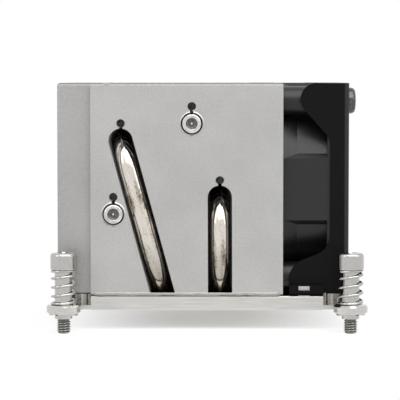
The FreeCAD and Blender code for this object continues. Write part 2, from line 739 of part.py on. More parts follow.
def stator_core():
    """Laminated core: a ring on the bearing tube with poles that end in curved shoes."""
    end = stator_start + STATOR_LENGTH
    core = tube(tube_radius + YOKE_WALL, tube_radius + STATOR_FIT, stator_start, end)
    shoes = tube(stator_radius, stator_radius - POLE_SHOE, stator_start, end)
    for i in range(STATOR_POLES):
        turn = (i + 0.5) * 360 / STATOR_POLES
        inner = tube_radius + YOKE_WALL / 2
        core = core.fuse(pole_box(POLE_WIDTH, inner, stator_radius - POLE_SHOE / 2, stator_start, end, turn))
        gap = pole_box(POLE_WIDTH / 2, stator_radius - 2 * POLE_SHOE, stator_radius + 1, stator_start, end,
                       turn + 180 / STATOR_POLES)
        shoes = shoes.cut(gap)
    return core.fuse(shoes).removeSplitter()


def stator_windings():
    """Copper coil around each pole."""
    end = stator_start + STATOR_LENGTH
    width = POLE_WIDTH + 2 * COIL_THICKNESS
    inner = tube_radius + YOKE_WALL
    outer = math.sqrt((stator_radius - POLE_SHOE) ** 2 - (width / 2) ** 2)
    coils = []
    for i in range(STATOR_POLES):
        turn = (i + 0.5) * 360 / STATOR_POLES
        coil = pole_box(width, inner, outer, stator_start - COIL_THICKNESS, end + COIL_THICKNESS, turn)
        coils.append(coil.cut(pole_box(POLE_WIDTH, inner, outer, stator_start, end, turn)))
    return Part.makeCompound(coils)


def motor_board():
    start = motor_base_top + BOARD_GAP
    return tube(HUB_RADIUS - HUB_WALL, tube_radius + STATOR_FIT, start, start + BOARD_THICKNESS)


# ---- Bracket ----

def foot(side):
    """J-shaped hook at a cheek's lower edge, around a tongue of the base."""
    inner = cheek_outer - SHEET
    outer = cheek_outer + FOOT_POCKET + SHEET
    profile = outline([
        (inner, 0), (outer, 0, BEND_OUTER), (outer, FOOT_HEIGHT), (outer - SHEET, FOOT_HEIGHT),
        (outer - SHEET, SHEET), (cheek_outer, SHEET), (cheek_outer, FOOT_HEIGHT), (inner, FOOT_HEIGHT),
    ])
    hook = prism(profile, SIDE, Vector(foot_x, 0, base_top), FOOT_LENGTH)
    window_start = foot_x + TONGUE_FROM_FOOT
    window = box(
        window_start, window_start + TONGUE_LENGTH, outer - SHEET, outer,
        base_top + WINDOW_SILL, base_top + TONGUE_HEIGHT,
    )
    hook = hook.cut(window)
    if side < 0:
        hook = hook.mirror(Vector(), Vector(0, 1, 0))
    return hook.cut(tongue_box(side, TONGUE_FIT, base_top + FOOT_HEIGHT))


def fan_bracket():
    """Folded sheet: a plate over the fan's face with a round opening, and two shaped cheeks."""
    front = fan_front + SHEET
    inner_round = BEND_OUTER - SHEET
    channel = outline([
        (foot_x, -cheek_outer), (front, -cheek_outer, BEND_OUTER), (front, cheek_outer, BEND_OUTER),
        (foot_x, cheek_outer), (foot_x, cheek_outer - SHEET), (fan_front, cheek_outer - SHEET, inner_round),
        (fan_front, SHEET - cheek_outer, inner_round), (foot_x, SHEET - cheek_outer),
    ])
    low = base_top + BRACKET_LIFT
    lobe_x = fan_front - LOBE_REACH
    waist_x = fan_front - WAIST_REACH
    bracket = prism(channel, PLAN, Vector(0, 0, low), fin_top - low)
    cheek = outline([
        (front, low), (front, fin_top),
        (lobe_x, fin_top, LOBE_ROUND), (lobe_x, fin_top - LOBE_DROP, LOBE_ROUND),
        (waist_x, fin_top - WAIST_DROP, WAIST_TOP_ROUND), (waist_x, base_top + WAIST_RISE, WAIST_BOTTOM_ROUND),
        (foot_x, base_top + FOOT_RISE, FOOT_ROUND), (foot_x, low),
    ])
    bracket = bracket.common(prism(cheek, FRONT, Vector(0, cheek_outer, 0), 2 * cheek_outer))
    for side in (-1, 1):
        bracket = bracket.fuse(foot(side))
    opening = rod(duct_radius - OPENING_LIP, Vector(fan_front, 0, fan_axis_z), Vector(1, 0, 0), SHEET)
    bracket = bracket.cut(opening)
    for y, z in at_corners(fan_hole_spacing, fan_hole_spacing):
        start = Vector(fan_front, y, fan_axis_z + z)
        bracket = bracket.cut(rod(FAN_HOLE_RADIUS, start, Vector(1, 0, 0), SHEET))
    return bracket.removeSplitter()


# ---- Screws, springs and rings ----

def cross_recess(top):
    """Cutter for a cross drive in a head whose top is at the given height on the Z axis."""
    half = DRIVE_LENGTH / 2
    width = DRIVE_WIDTH / 2
    along = box(-half, half, -width, width, top - DRIVE_DEPTH, top)
    return along.fuse(box(-width, width, -half, half, top - DRIVE_DEPTH, top))


def fan_screws():
    head_top = FAN_SCREW_HEAD_HEIGHT
    screw = turned(
        [
            (0, -FAN_SCREW_LENGTH), (FAN_SCREW_RADIUS, -FAN_SCREW_LENGTH), (FAN_SCREW_RADIUS, 0),
            (FAN_SCREW_HEAD_RADIUS, 0), (FAN_SCREW_HEAD_RADIUS, FAN_SCREW_SIDE),
            (FAN_SCREW_BREAK_RADIUS, FAN_SCREW_BREAK), (FAN_SCREW_CROWN_RADIUS, head_top), (0, head_top),
        ],
        Placement(),
    )
    screw = screw.cut(cross_recess(head_top))
    screws = []
    for y, z in at_corners(fan_hole_spacing, fan_hole_spacing):
        copy = screw.copy()
        copy.Placement = Placement(
            Vector(fan_front + SHEET, y, fan_axis_z + z), Rotation(Vector(0, 0, 1), Vector(1, 0, 0))
        )
        screws.append(copy)
    return Part.makeCompound(screws)


def mounting_screw(x, y):
    """Captive screw: a shank through the ear, a groove for the ring, and a plain thread blank."""
    head_low = ear_top + SPRING_LENGTH
    head_top = head_low + SCREW_HEAD_HEIGHT
    groove_top = base_bottom + GROOVE_FIT
    groove_low = base_bottom - RING_THICKNESS - GROOVE_FIT
    shank_low = base_bottom - SHOULDER_DROP
    screw = turned(
        [
            (0, 0), (THREAD_RADIUS - TIP_CHAMFER, 0), (THREAD_RADIUS, TIP_CHAMFER),
            (THREAD_RADIUS, shank_low), (SHANK_RADIUS, shank_low),
            (SHANK_RADIUS, groove_low), (GROOVE_RADIUS, groove_low),
            (GROOVE_RADIUS, groove_top), (SHANK_RADIUS, groove_top),
            (SHANK_RADIUS, head_low), (SCREW_HEAD_RADIUS - HEAD_BOTTOM_CHAMFER, head_low),
            (SCREW_HEAD_RADIUS, head_low + HEAD_BOTTOM_CHAMFER),
            (SCREW_HEAD_RADIUS, head_top - HEAD_TOP_TAPER), (HEAD_TOP_RADIUS, head_top), (0, head_top),
        ],
        Placement(),
    )
    screw = screw.cut(cross_recess(head_top))
    screw.translate(Vector(x, y, 0))
    return screw


def retaining_ring(x, y):
    """Flat open ring in the screw's groove, which stops the screw under the ear."""
    inner = GROOVE_RADIUS + GROOVE_FIT
    low = base_bottom - RING_THICKNESS
    corners = [(inner, low), (RING_RADIUS, low), (RING_RADIUS, base_bottom), (inner, base_bottom)]
    ring = turned(corners, Placement())
    reach = 2 * RING_RADIUS
    spread = reach * math.tan(math.radians(RING_GAP_HALF_ANGLE))
    gap = prism(outline([(0, 0), (reach, -spread), (reach, spread)]), PLAN, Vector(0, 0, low), RING_THICKNESS)
    ring = ring.cut(gap)
    ring.rotate(Vector(), Vector(0, 0, 1), math.degrees(math.atan2(y, x)))
    ring.translate(Vector(x, y, 0))
    return ring


def spring_height(turn):
    """Height of the wire's centre after a number of turns, with closed turns at both ends."""
    closed_rise = 2 * SPRING_WIRE
    free = SPRING_TURNS - 2 * SPRING_END_TURNS
    pitch = (SPRING_LENGTH - 2 * SPRING_END_TURNS * closed_rise) / free
    low = min(turn, SPRING_END_TURNS) * closed_rise
    middle = min(max(turn - SPRING_END_TURNS, 0), free) * pitch
    high = max(turn - SPRING_TURNS + SPRING_END_TURNS, 0) * closed_rise
    return low + middle + high


def spring_ring(turn):
    """Corners of the wire's section at one place along the spring, ground flat at the ends."""
    angle = math.radians(SPRING_START) + 2 * math.pi * turn
    outward = Vector(math.cos(angle), math.sin(angle), 0)
    span = 0.5 / SPRING_STEPS
    rise = (spring_height(turn + span) - spring_height(turn - span)) / (2 * span)
    along = Vector(-outward.y, outward.x, rise / (2 * math.pi * SPRING_RADIUS)).normalize()
    across = along.cross(outward)
    centre = outward * SPRING_RADIUS + Vector(0, 0, spring_height(turn))
    ring = []
    for i in range(SPRING_SIDES):
        around = 2 * math.pi * (i + 0.5) / SPRING_SIDES
        point = centre + outward * (SPRING_WIRE * math.cos(around)) + across * (SPRING_WIRE * math.sin(around))
        point.z = min(max(point.z, 0), SPRING_LENGTH)
        ring.append(point)
    return ring


def facet(corners):
    return Part.Face(Part.makePolygon(corners + corners[:1]))


def spring_blank():
    """Compression spring about the Z axis, from z = 0 up to its length, in flat facets."""
    count = int(SPRING_TURNS * SPRING_STEPS)
    rings = [spring_ring(i / SPRING_STEPS) for i in range(count + 1)]
    faces = [facet([rings[0][0], rings[0][i], rings[0][i + 1]]) for i in range(1, SPRING_SIDES - 1)]
    faces += [facet([rings[-1][0], rings[-1][i + 1], rings[-1][i]]) for i in range(1, SPRING_SIDES - 1)]
    for here, ahead in zip(rings, rings[1:]):
        for i in range(SPRING_SIDES):
            j = (i + 1) % SPRING_SIDES
            faces.append(facet([here[i], ahead[i], ahead[j]]))
            faces.append(facet([here[i], ahead[j], here[j]]))
    solid = Part.Solid(Part.Shell(faces))
    if solid.Volume < 0:
        solid.reverse()
    return solid


def build():
    os.makedirs("parts", exist_ok=True)
    save("base_plate", base_plate())
    save("contact_plate", contact_plate())
    for i, pipe in enumerate(PIPES):
        save("heat_pipe_%d" % (i + 1), heat_pipe(pipe))
    openings = fin_openings()
    for i in range(FIN_COUNT):
        save("fin_%02d" % (i + 1), fin(i, openings))
    save("fan_frame", fan_frame())
    save("impeller", impeller())
    save("rotor_yoke", rotor_yoke())
    save("rotor_shaft", rotor_shaft())
    save("magnet_ring", magnet_ring())
    save("motor_bearings", motor_bearings())
    save("stator_core", stator_core())
    save("stator_windings", stator_windings())
    save("motor_board", motor_board())
    save("fan_bracket", fan_bracket())
    save("fan_screws", fan_screws())
    spring = spring_blank()
    for i, (x, y) in enumerate(at_corners(SCREW_SPACING, SCREW_SPACING)):
        save("mounting_screw_%d" % (i + 1), mounting_screw(x, y))
        save("retaining_ring_%d" % (i + 1), retaining_ring(x, y))
        copy = spring.copy()
        copy.translate(Vector(x, y, ear_top))
        save("screw_spring_%d" % (i + 1), copy)


build()
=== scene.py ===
import math

import bmesh
import bpy
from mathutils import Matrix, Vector


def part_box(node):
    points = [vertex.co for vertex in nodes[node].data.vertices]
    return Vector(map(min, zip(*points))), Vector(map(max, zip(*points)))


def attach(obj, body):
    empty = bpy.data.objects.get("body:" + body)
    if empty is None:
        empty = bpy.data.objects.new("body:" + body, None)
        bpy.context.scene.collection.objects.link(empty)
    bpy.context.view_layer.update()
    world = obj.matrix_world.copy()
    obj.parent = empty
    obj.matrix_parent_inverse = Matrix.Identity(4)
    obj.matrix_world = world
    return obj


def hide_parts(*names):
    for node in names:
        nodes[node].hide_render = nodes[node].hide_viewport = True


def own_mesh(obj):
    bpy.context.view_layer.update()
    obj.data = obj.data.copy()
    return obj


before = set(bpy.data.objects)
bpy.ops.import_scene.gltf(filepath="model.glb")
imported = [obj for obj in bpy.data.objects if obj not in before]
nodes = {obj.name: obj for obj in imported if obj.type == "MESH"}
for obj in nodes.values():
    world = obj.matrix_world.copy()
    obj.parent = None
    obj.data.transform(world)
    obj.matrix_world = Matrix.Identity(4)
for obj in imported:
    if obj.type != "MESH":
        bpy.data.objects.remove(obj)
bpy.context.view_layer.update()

# ---- Camera ----

DISTANCE = 0.590            # in front of the origin, along -Y
EYE_HEIGHT = 0.071
SENSOR = 36.0
LENS = 178.5
PITCH = 3.52                # degrees down
SIDE_AIM = -0.0021          # the aim's X at the object


def build_camera():
    data = bpy.data.cameras.new("camera")
    data.lens = LENS
    data.sensor_width = SENSOR
    data.clip_start = 0.01
    data.clip_end = 20.0
    camera = bpy.data.objects.new("camera", data)
    bpy.context.scene.collection.objects.link(camera)
    camera.location = (0, -DISTANCE, EYE_HEIGHT)
    look = Vector((SIDE_AIM, DISTANCE, -DISTANCE * math.tan(math.radians(PITCH))))
    camera.rotation_euler = look.to_track_quat("-Z", "Y").to_euler()
    bpy.context.scene.camera = camera


# ---- Studio ----

WORLD_LIGHT = 0.42
FLOOR_REACH = 4.0
FLOOR_COLOUR = (0.8, 0.8, 0.8, 1)
FLOOR_GLOW = 0.35           # keeps the shadow on the floor as pale as a white sweep's
FLOOR_SHADE = (0.008, 0.060)    # distances from the middle over which the shaded floor turns white
FLOOR_STRETCH = (1, 0.55, 1)    # makes the shaded part longer from front to back
# name: place, target, width, height, brightness as a multiple of white
LAMPS = {
    "top_box": ((0.12, -0.42, 0.64), (0.03, 0, 0.045), 0.95, 0.72, 2.4),
    "left_box": ((-0.8, -0.5, 0.55), (0, 0, 0.03), 0.5, 0.6, 1.4),
    "right_box": ((0.8, -0.4, 0.5), (0, 0, 0.03), 0.5, 0.6, 1.2),
}


def background_share(tree):
    """1 for rays from the camera and for reflected or transmitted ones, which see the white background."""
    path = tree.nodes.new("ShaderNodeLightPath")
    glossy = tree.nodes.new("ShaderNodeMath")
    glossy.operation = "MAXIMUM"
    both = tree.nodes.new("ShaderNodeMath")
    both.operation = "MAXIMUM"
    tree.links.new(path.outputs["Is Camera Ray"], glossy.inputs[0])
    tree.links.new(path.outputs["Is Glossy Ray"], glossy.inputs[1])
    tree.links.new(glossy.outputs[0], both.inputs[0])
    tree.links.new(path.outputs["Is Transmission Ray"], both.inputs[1])
    return both.outputs[0]


def build_world():
    world = bpy.data.worlds.new("studio")
    bpy.context.scene.world = world
    world.use_nodes = True
    tree = world.node_tree
    tree.nodes.clear()
    out = tree.nodes.new("ShaderNodeOutputWorld")
    mix = tree.nodes.new("ShaderNodeMixShader")
    seen = tree.nodes.new("ShaderNodeBackground")
    seen.inputs["Strength"].default_value = 1.0
    lit = tree.nodes.new("ShaderNodeBackground")
    lit.inputs["Strength"].default_value = WORLD_LIGHT
    for n in (seen, lit):
        n.inputs["Color"].default_value = (1, 1, 1, 1)
    tree.links.new(background_share(tree), mix.inputs["Fac"])
    tree.links.new(lit.outputs[0], mix.inputs[1])
    tree.links.new(seen.outputs[0], mix.inputs[2])
    tree.links.new(mix.outputs[0], out.inputs["Surface"])


def build_floor():
    """A pale sweep that keeps the shadow near the object and is the white background further out."""
    mesh = bpy.data.meshes.new("floor")
    corners = [(u * FLOOR_REACH, v * FLOOR_REACH, 0) for u, v in ((-1, -1), (1, -1), (1, 1), (-1, 1))]
    mesh.from_pydata(corners, [], [(0, 1, 2, 3)])
    floor = bpy.data.objects.new("floor", mesh)
    bpy.context.scene.collection.objects.link(floor)
    material = bpy.data.materials.new("floor")
    material.use_nodes = True
    tree = material.node_tree
    tree.nodes.clear()
    link = tree.links.new

    def new(kind):
        return tree.nodes.new("ShaderNode" + kind)

    paper = new("BsdfDiffuse")
    paper.inputs["Color"].default_value = FLOOR_COLOUR
    glow = new("Emission")
    glow.inputs["Strength"].default_value = FLOOR_GLOW
    white = new("Emission")
    white.inputs["Strength"].default_value = 1.0
    near = new("AddShader")
    link(paper.outputs[0], near.inputs[0])
    link(glow.outputs[0], near.inputs[1])

    stretched = new("VectorMath")
    stretched.operation = "MULTIPLY"
    stretched.inputs[1].default_value = FLOOR_STRETCH
    away = new("VectorMath")
    away.operation = "LENGTH"
    fade = new("MapRange")
    fade.interpolation_type = "SMOOTHSTEP"
    fade.inputs["From Min"].default_value, fade.inputs["From Max"].default_value = FLOOR_SHADE
    link(new("NewGeometry").outputs["Position"], stretched.inputs[0])
    link(stretched.outputs[0], away.inputs[0])
    link(away.outputs["Value"], fade.inputs["Value"])
    seen = new("MixShader")
    link(fade.outputs["Result"], seen.inputs["Fac"])
    link(near.outputs[0], seen.inputs[1])
    link(white.outputs[0], seen.inputs[2])

    mix = new("MixShader")
    link(background_share(tree), mix.inputs["Fac"])
    link(paper.outputs[0], mix.inputs[1])
    link(seen.outputs[0], mix.inputs[2])
    link(mix.outputs[0], new("OutputMaterial").inputs["Surface"])
    mesh.materials.append(material)


def softbox(name, place, target, width, height, radiance):
    """Area lamp whose surface is a given number of times as bright as white."""
    data = bpy.data.lights.new(name, "AREA")
    data.shape = "RECTANGLE"
    data.size = width
    data.size_y = height
    data.energy = radiance * math.pi * width * height
    lamp = bpy.data.objects.new(name, data)
    bpy.context.scene.collection.objects.link(lamp)
    lamp.location = place
    lamp.rotation_euler = (Vector(target) - Vector(place)).to_track_quat("-Z", "Y").to_euler()


def build_lamps():
    for name, values in LAMPS.items():
        softbox(name, *values)


# ---- Materials ----

def linear(r, g, b):
    """Linear colour from 0..255 display values."""
    def one(v):
        v /= 255
        return v / 12.92 if v <= 0.04045 else ((v + 0.055) / 1.055) ** 2.4
    return (one(r), one(g), one(b), 1.0)


class Finish:
    """One node material, from an object-space grain that drives its colour, roughness and relief."""

    def __init__(self, name, metallic, roughness, stretch, scale, detail=6.0):
        self.material = bpy.data.materials.new(name + "_finish")
        self.material.use_nodes = True
        self.tree = self.material.node_tree
        self.tree.nodes.clear()
        self.out = self.new("OutputMaterial")
        self.shader = self.new("BsdfPrincipled")
        self.shader.inputs["Metallic"].default_value = metallic
        self.shader.inputs["Roughness"].default_value = roughness
        self.link(self.shader.outputs[0], self.out.inputs["Surface"])
        self.coords = self.new("TexCoord")
        mapping = self.new("Mapping")
        mapping.inputs["Scale"].default_value = stretch
        self.link(self.coords.outputs["Object"], mapping.inputs["Vector"])
        self.mapped = mapping.outputs[0]
        self.grain = self.noise(self.mapped, scale, detail)

    def new(self, kind):
        return self.tree.nodes.new("ShaderNode" + kind)

    def link(self, a, b):
        self.tree.links.new(a, b)

    def noise(self, vector, scale, detail=4.0, rough=0.6):
        n = self.new("TexNoise")
        n.inputs["Scale"].default_value = scale
        n.inputs["Detail"].default_value = detail
        n.inputs["Roughness"].default_value = rough
        self.link(vector, n.inputs["Vector"])
        return n.outputs["Fac"]

    def ramp(self, value, stops):
        n = self.new("ValToRGB")
        while len(n.color_ramp.elements) < len(stops):
            n.color_ramp.elements.new(0.5)
        for element, (place, colour) in zip(n.color_ramp.elements, stops):
            element.position = place
            element.color = colour
        self.link(value, n.inputs["Fac"])
        return n.outputs["Color"]

    def span(self, value, low, high, start=0.3, end=0.7):
        n = self.new("MapRange")
        n.inputs["From Min"].default_value = start
        n.inputs["From Max"].default_value = end
        n.inputs["To Min"].default_value = low
        n.inputs["To Max"].default_value = high
        self.link(value, n.inputs["Value"])
        return n.outputs["Result"]

    def blend(self, first, second, share):
        n = self.new("Mix")
        n.inputs["Factor"].default_value = share
        self.link(first, n.inputs["A"])
        self.link(second, n.inputs["B"])
        return n.outputs["Result"]

    def colour(self, dark, light, value=None):
        mixed_colour = self.ramp(value or self.grain, [(0.3, dark), (0.7, light)])
        self.link(mixed_colour, self.shader.inputs["Base Color"])

    def roughness(self, low, high, value=None):
        self.link(self.span(value or self.grain, low, high), self.shader.inputs["Roughness"])

    def relief(self, depth, strength=1.0, value=None):
        bump = self.new("Bump")
        bump.inputs["Strength"].default_value = strength
        bump.inputs["Distance"].default_value = depth
        self.link(value or self.grain, bump.inputs["Height"])
        self.link(bump.outputs[0], self.shader.inputs["Normal"])


def slanted(f, along):
    """1 on folds and chamfers that run along an axis, 0 on faces square to the axes and on other curves."""
    place = f.new("NewGeometry")
    size = f.new("VectorMath")
    size.operation = "ABSOLUTE"
    f.link(place.outputs["Normal"], size.inputs[0])
    split = f.new("SeparateXYZ")
    f.link(size.outputs[0], split.inputs[0])
    most = f.new("Math")
    most.operation = "MAXIMUM"
    first, second = (axis for axis in "XYZ" if axis != along)
    f.link(split.outputs[first], most.inputs[0])
    f.link(split.outputs[second], most.inputs[1])
    both = f.new("Math")
    both.operation = "MULTIPLY"
    f.link(f.span(most.outputs[0], 1.0, 0.0, 0.955, 0.997), both.inputs[0])
    f.link(f.span(split.outputs[along], 1.0, 0.0, 0.03, 0.12), both.inputs[1])
    return both.outputs[0]


def mixed(f, first, second, share):
    """Colour mix whose share comes from a socket."""
    n = f.new("Mix")
    n.data_type = "RGBA"
    f.link(share, n.inputs["Factor"])
    colours = [socket for socket in n.inputs if socket.type == "RGBA"]
    for socket, value in zip(colours, (first, second)):
        if isinstance(value, tuple):
            socket.default_value = value
        else:
            f.link(value, socket)
    return [socket for socket in n.outputs if socket.type == "RGBA"][0]


def fin_sheet(name, dark, light, fold_shade):
    """Rolled aluminium: an even satin grey with a fine grain, and a darker colour on its folds as painted
    shade.
    """
    f = Finish(name, 1.0, 0.42, (1, 1, 1), 1900.0, 4.0)
    broad = f.noise(f.coords.outputs["Object"], 60.0, 3.0)
    sheet = f.ramp(f.blend(f.grain, broad, 0.4), [(0.3, dark), (0.7, light)])
    # folds along X take the darker fold colour: painted shade
    f.link(mixed(f, sheet, fold_shade, slanted(f, "X")), f.shader.inputs["Base Color"])
    f.roughness(0.36, 0.46)
    f.relief(0.00001, 0.2)
    return f.material


def milled():
    """Brushed along X on the flat front and back, polished on the milled curves, with an even light colour on
    the chamfers along X as a painted highlight.
    """
    f = Finish("milled_aluminium", 1.0, 0.3, (40, 900, 900), 3.0)
    plate = f.ramp(f.grain, [(0.3, linear(190, 188, 184)), (0.7, linear(210, 208, 204))])
    # chamfers along X take an even light colour: painted highlight
    f.link(mixed(f, plate, linear(206, 204, 200), slanted(f, "X")), f.shader.inputs["Base Color"])
    place = f.new("NewGeometry")
    split = f.new("SeparateXYZ")
    f.link(place.outputs["True Normal"], split.inputs[0])
    facing = f.new("Math")
    facing.operation = "ABSOLUTE"
    f.link(split.outputs["Y"], facing.inputs[0])
    f.link(f.span(facing.outputs[0], 0.07, 0.32, 0.9, 0.99), f.shader.inputs["Roughness"])
    f.relief(0.00002, 0.25)
    return f.material


def plated_pipe():
    """Nickel plating with brown tide marks along the pipe, darker and browner towards the base, and
    plain and bright at its sealed end."""
    f = Finish("nickel", 1.0, 0.16, (1, 1, 1), 900.0)
    flow = f.new("Attribute")
    flow.attribute_name = "flow"
    drawn = f.new("Mapping")
    drawn.inputs["Scale"].default_value = (0.62, 0.62, 0.13)
    f.link(flow.outputs["Vector"], drawn.inputs["Vector"])
    streaks = f.noise(drawn.outputs[0], 0.62, 7.0, 0.66)
    specks = f.noise(flow.outputs["Vector"], 2.6, 3.0, 0.6)
    marks = f.blend(streaks, specks, 0.24)
    base = f.ramp(marks, [(0.34, linear(64, 56, 48)), (0.415, linear(140, 127, 112)),
                          (0.48, linear(212, 205, 194)), (0.7, linear(234, 231, 226))])
    place = f.new("NewGeometry")
    height = f.new("SeparateXYZ")
    f.link(place.outputs["Position"], height.inputs[0])
    darker_share = f.new("Math")
    darker_share.operation = "MULTIPLY"
    near_base = f.span(height.outputs["Z"], 1.0, 0.0, BASE_TOP / 1000, (BASE_TOP + PIPE_DARKER_REACH) / 1000)
    f.link(near_base, darker_share.inputs[0])
    f.link(f.span(marks, 1.0, 0.8, 0.42, 0.6), darker_share.inputs[1])
    base = mixed(f, base, linear(82, 70, 58), darker_share.outputs[0])
    split = f.new("SeparateXYZ")
    f.link(flow.outputs["Vector"], split.inputs[0])
    sealed = f.span(split.outputs["Z"], 1.0, 0.0, PIPE_SWAGE + 2.0, PIPE_SWAGE + 5.0)
    plain = f.ramp(f.grain, [(0.35, linear(186, 184, 180)), (0.65, linear(232, 231, 228))])
    f.link(mixed(f, base, plain, sealed), f.shader.inputs["Base Color"])
    f.link(f.span(marks, 0.34, 0.14, 0.33, 0.5), f.shader.inputs["Roughness"])
    f.relief(0.00003, 0.15, marks)
    return f.material


def copper(name, light, dark, rough):
    f = Finish(name, 1.0, rough, (500, 60, 500), 3.0)
    f.colour(dark, light)
    f.roughness(rough - 0.06, rough + 0.08)
    f.relief(0.00001, 0.3)
    return f.material


def painted_steel():
    f = Finish("black_steel", 0.0, 0.45, (1, 1, 1), 2600.0, 3.0)
    f.shader.inputs["Specular IOR Level"].default_value = 0.08
    paint = f.ramp(f.grain, [(0.3, linear(12, 12, 13)), (0.7, linear(19, 19, 20))])
    # bends along Z take a lighter colour: painted highlight
    f.link(mixed(f, paint, linear(52, 52, 53), slanted(f, "Z")), f.shader.inputs["Base Color"])
    f.roughness(0.36, 0.5)
    f.relief(0.00002, 0.3)
    return f.material


def moulded():
    f = Finish("black_plastic", 0.0, 0.4, (1, 1, 1), 1800.0, 4.0)
    f.shader.inputs["Specular IOR Level"].default_value = 0.45
    f.colour(linear(13, 13, 14), linear(24, 24, 25))
    f.roughness(0.3, 0.42)
    f.relief(0.00002, 0.3)
    return f.material


def steel(name, dark, light, low, high, stretch=(400, 400, 400)):
    f = Finish(name, 1.0, low, stretch, 3.0)
    f.colour(dark, light)
    f.roughness(low, high)
    f.relief(0.00001, 0.2)
    return f.material


def polished():
    """Bright plated steel, with painted shade down in the threads."""
    f = Finish("bright_steel", 1.0, 0.06, (400, 400, 400), 3.0)
    plate = f.ramp(f.grain, [(0.3, linear(178, 177, 174)), (0.7, linear(190, 189, 186))])
    root = f.new("Attribute")
    root.attribute_name = "root"
    # points deep in the thread take a darker colour: painted shade
    f.link(mixed(f, plate, linear(104, 103, 100), f.span(root.outputs["Fac"], 0.0, 1.0, 0.3, 1.0)),
           f.shader.inputs["Base Color"])
    f.roughness(0.04, 0.09)
    f.relief(0.00001, 0.04)
    return f.material


def resin(name, dark, light, low, high):
    f = Finish(name, 0.0, low, (300, 300, 300), 4.0)
    f.colour(dark, light)
    f.roughness(low, high)
    f.relief(0.00001, 0.3)
    return f.material


def build_finishes():
    return {
        "milled_aluminium": milled(),
        # the two fin finishes are one aluminium in a lighter and a darker copy, painted light and shade; the
        # third colour of each is painted shade on the folds
        "fin_aluminium": fin_sheet("fin_aluminium", linear(161, 160, 159), linear(182, 181, 179),
                                   linear(124, 123, 122)),
        "fin_outer_lit": fin_sheet("fin_outer_lit", linear(170, 169, 167), linear(192, 191, 189),
                               linear(130, 129, 128)),
        "nickel": steel("nickel", linear(190, 186, 178), linear(216, 212, 204), 0.18, 0.3),
        "pipe": plated_pipe(),
        "seal": steel("seal", linear(58, 57, 55), linear(124, 122, 118), 0.35, 0.5, (900, 900, 900)),
        # the solder finish is kept dark: painted shade in the relief holes
        "solder": steel("solder", linear(26, 26, 26), linear(118, 117, 114), 0.3, 0.5, (260, 260, 260)),
        "solder_seam": steel("solder_seam", linear(150, 149, 146), linear(176, 175, 172), 0.3, 0.45,
                             (200, 700, 700)),
        "fan_screw": steel("fan_screw", linear(70, 70, 72), linear(104, 104, 106), 0.16, 0.26,
                           (600, 600, 600)),
        "copper": copper("copper", linear(214, 150, 112), linear(186, 118, 84), 0.3),
        "black_steel": painted_steel(),
        "black_plastic": moulded(),
        "steel": steel("steel", linear(150, 150, 152), linear(184, 184, 186), 0.3, 0.42),
        "bright_steel": polished(),
        "magnet": resin("magnet", linear(40, 38, 37), linear(62, 59, 57), 0.5, 0.7),
        "board": resin("board", linear(20, 74, 44), linear(32, 96, 58), 0.35, 0.5),
    }


def dress(obj, material):
    obj.data.materials.clear()
    obj.data.materials.append(material)


# these outer fins take the lighter copy of the fin aluminium and all other fins the darker one: painted light
# and shade
OUTER_FINS = ("fin_01", "fin_02", "fin_30", "fin_31")
BRACKET_EDGE = 0.14         # rounding of its cut edges, in mm


def soften_edges(name, width):
    """Small rounding that catches the light along a CAD node's sharp edges."""
    bevel = nodes[name].modifiers.new("edges", "BEVEL")
    bevel.width = width / 1000
    bevel.segments = 2
    bevel.limit_method = "ANGLE"
    bevel.angle_limit = math.radians(40)
    bevel.harden_normals = False
    bevel.use_clamp_overlap = True


def dress_nodes(finishes):
    soften_edges("fan_bracket", BRACKET_EDGE)
    for name, node in nodes.items():
        slot = "fin_outer_lit" if name in OUTER_FINS else node.data.materials[0].name
        dress(node, finishes[slot])


# ---- Shapes, in millimetres from the row's origin ----

def box_of(node):
    """Lowest and highest corners of a CAD node at rest, in millimetres."""
    low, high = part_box(node)
    return Vector(low) * 1000, Vector(high) * 1000


def middle_of(node):
    low, high = box_of(node)
    return (low + high) / 2


SCREWS = [tuple(middle_of("mounting_screw_%d" % n))[:2] for n in (1, 2, 3, 4)]
EAR_TOP = box_of("screw_spring_1")[0].z
BASE_TOP = box_of("fin_01")[0].z
COLLAR_PROUD = 0.2
OUTER_FIN_FACE = -box_of("fin_01")[0].y - COLLAR_PROUD

THREAD_PITCH = 0.7
THREAD_ROOT = 1.57
THREAD_CREST = 2.0
THREAD_END = 3.7
SHANK = 2.45                # radius
GROOVE = (5.05, 5.65)       # the retaining ring's, from its lower to its upper wall
GROOVE_RADIUS = 1.75
HEAD_UNDERSIDE = 17.7
HEAD_TOP = 22.5
HEAD_RADIUS = 3.65

SPRING_LENGTH = 9.7
SPRING_RADIUS = 3.22
SPRING_WIRE = 0.375         # radius
SPRING_TURNS = 5.0
SPRING_END_TURNS = 0.8      # closed turns at each end
SPRING_START = 20.0         # degrees
SPRING_WIRE_INSET = 0.005   # taken off the drawn wire's radius
SPRING_END_INSET = 0.002    # taken off the drawn spring at each end

PIPE_RADIUS = 3.0
PIPE_BEND = 12.0
PIPE_BEND_TOP = 9.5
PIPE_FLAT = 3.5
PIPE_RUN_Y = 29.95          # axis of the run that shows in the slots
PIPE_BEND_Y = PIPE_RUN_Y - PIPE_BEND
PIPE_TRANSITION_Y = 12.6
PIPE_SEAT_END = 22.0
PIPE_CLOSED_Y = 33.9
PIPE_SEAT_AXIS = 9.1
PIPE_END_RADIUS = 2.7       # swaged down where it is sealed
PIPE_DARKER_REACH = 15.0          # height over the base over which the pipe turns darker and browner
PIPE_SWAGE = 3.6            # length of the swaged end
PIPE_DISH_RADIUS = 1.66
# X in the base, X in the fins, side of the bend
PIPES = [(-12.2, -24.3, -1), (3.7, 3.6, -1), (-4.25, -4.3, 1), (-20.15, -26.4, 1)]

